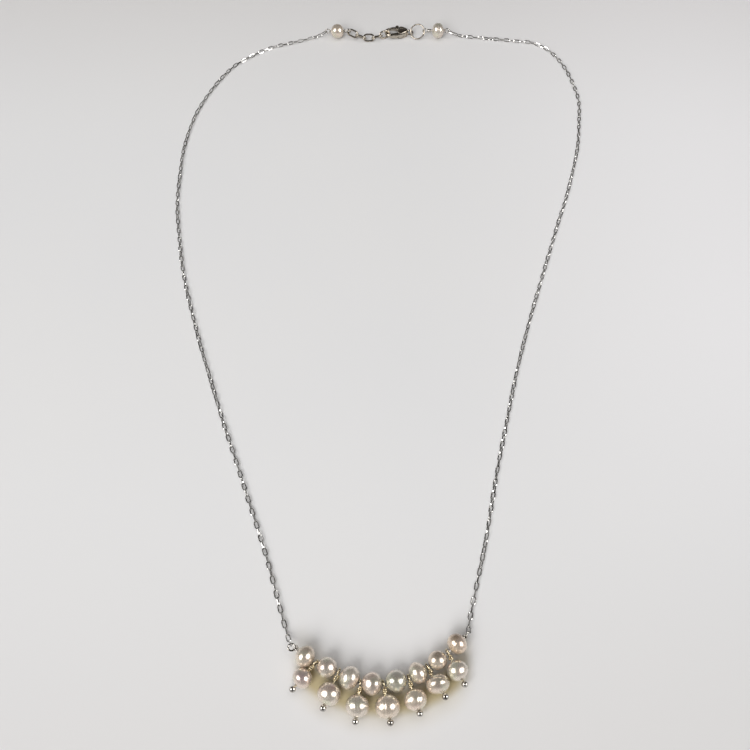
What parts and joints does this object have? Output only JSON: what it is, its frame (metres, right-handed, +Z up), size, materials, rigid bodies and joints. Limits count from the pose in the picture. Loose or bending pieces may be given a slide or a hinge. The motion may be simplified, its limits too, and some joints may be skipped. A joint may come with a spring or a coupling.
{
  "type": "pearl pendant necklace",
  "caption": "Fine silver chain necklace with a curved cluster of creamy pearls on ball-foot pins, laid as a closed loop with its sprung clasp at the back.",
  "frame": {"origin": "middle of the laid loop's outline, on the table", "axes": "+X to the wearer's left side of the loop, +Y from the pendant to the clasp, +Z up from the table"},
  "size_m": [0.1156, 0.2072, 0.0047],
  "materials": {
    "pearl": "pearly gloss",
    "silver": "polished"
  },
  "bodies": {
    "necklace": {"pearl_top_1": "pearl", "pearl_top_2": "pearl", "pearl_top_3": "pearl", "pearl_top_4": "pearl", "pearl_top_5": "pearl", "pearl_top_6": "pearl", "pearl_top_7": "pearl", "pearl_top_8": "pearl", "pearl_drop_1": "pearl", "pearl_drop_2": "pearl", "pearl_drop_3": "pearl", "pearl_drop_4": "pearl", "pearl_drop_5": "pearl", "pearl_drop_6": "pearl", "pearl_drop_7": "pearl", "pearl_clasp_left": "pearl", "pearl_clasp_right": "pearl", "drop_pin_1": "silver", "drop_pin_2": "silver", "drop_pin_3": "silver", "drop_pin_4": "silver", "drop_pin_5": "silver", "drop_pin_6": "silver", "drop_pin_7": "silver", "extender_link_1": "silver", "extender_link_2": "silver", "extender_link_3": "silver", "extender_link_4": "silver", "extender_link_5": "silver", "bar_wire": "silver", "link_wire_left": "silver", "link_wire_right": "silver", "chain_left": "silver", "chain_right": "silver", "clasp_body": "silver", "clasp_pin": "silver", "clasp_ring": "silver"},
    "lever": {"clasp_lever": "silver"}
  },
  "joints": [
    {"name": "clasp_lever_hinge", "type": "hinge", "parent": "necklace", "child": "lever", "pos_m": [0.0056, 0.1016, 0.00115], "axis": [0, 0, 1], "range_deg": [0, 20], "stiffness_Nm_per_rad": 0.002, "springref_deg": -11.46}
  ]
}
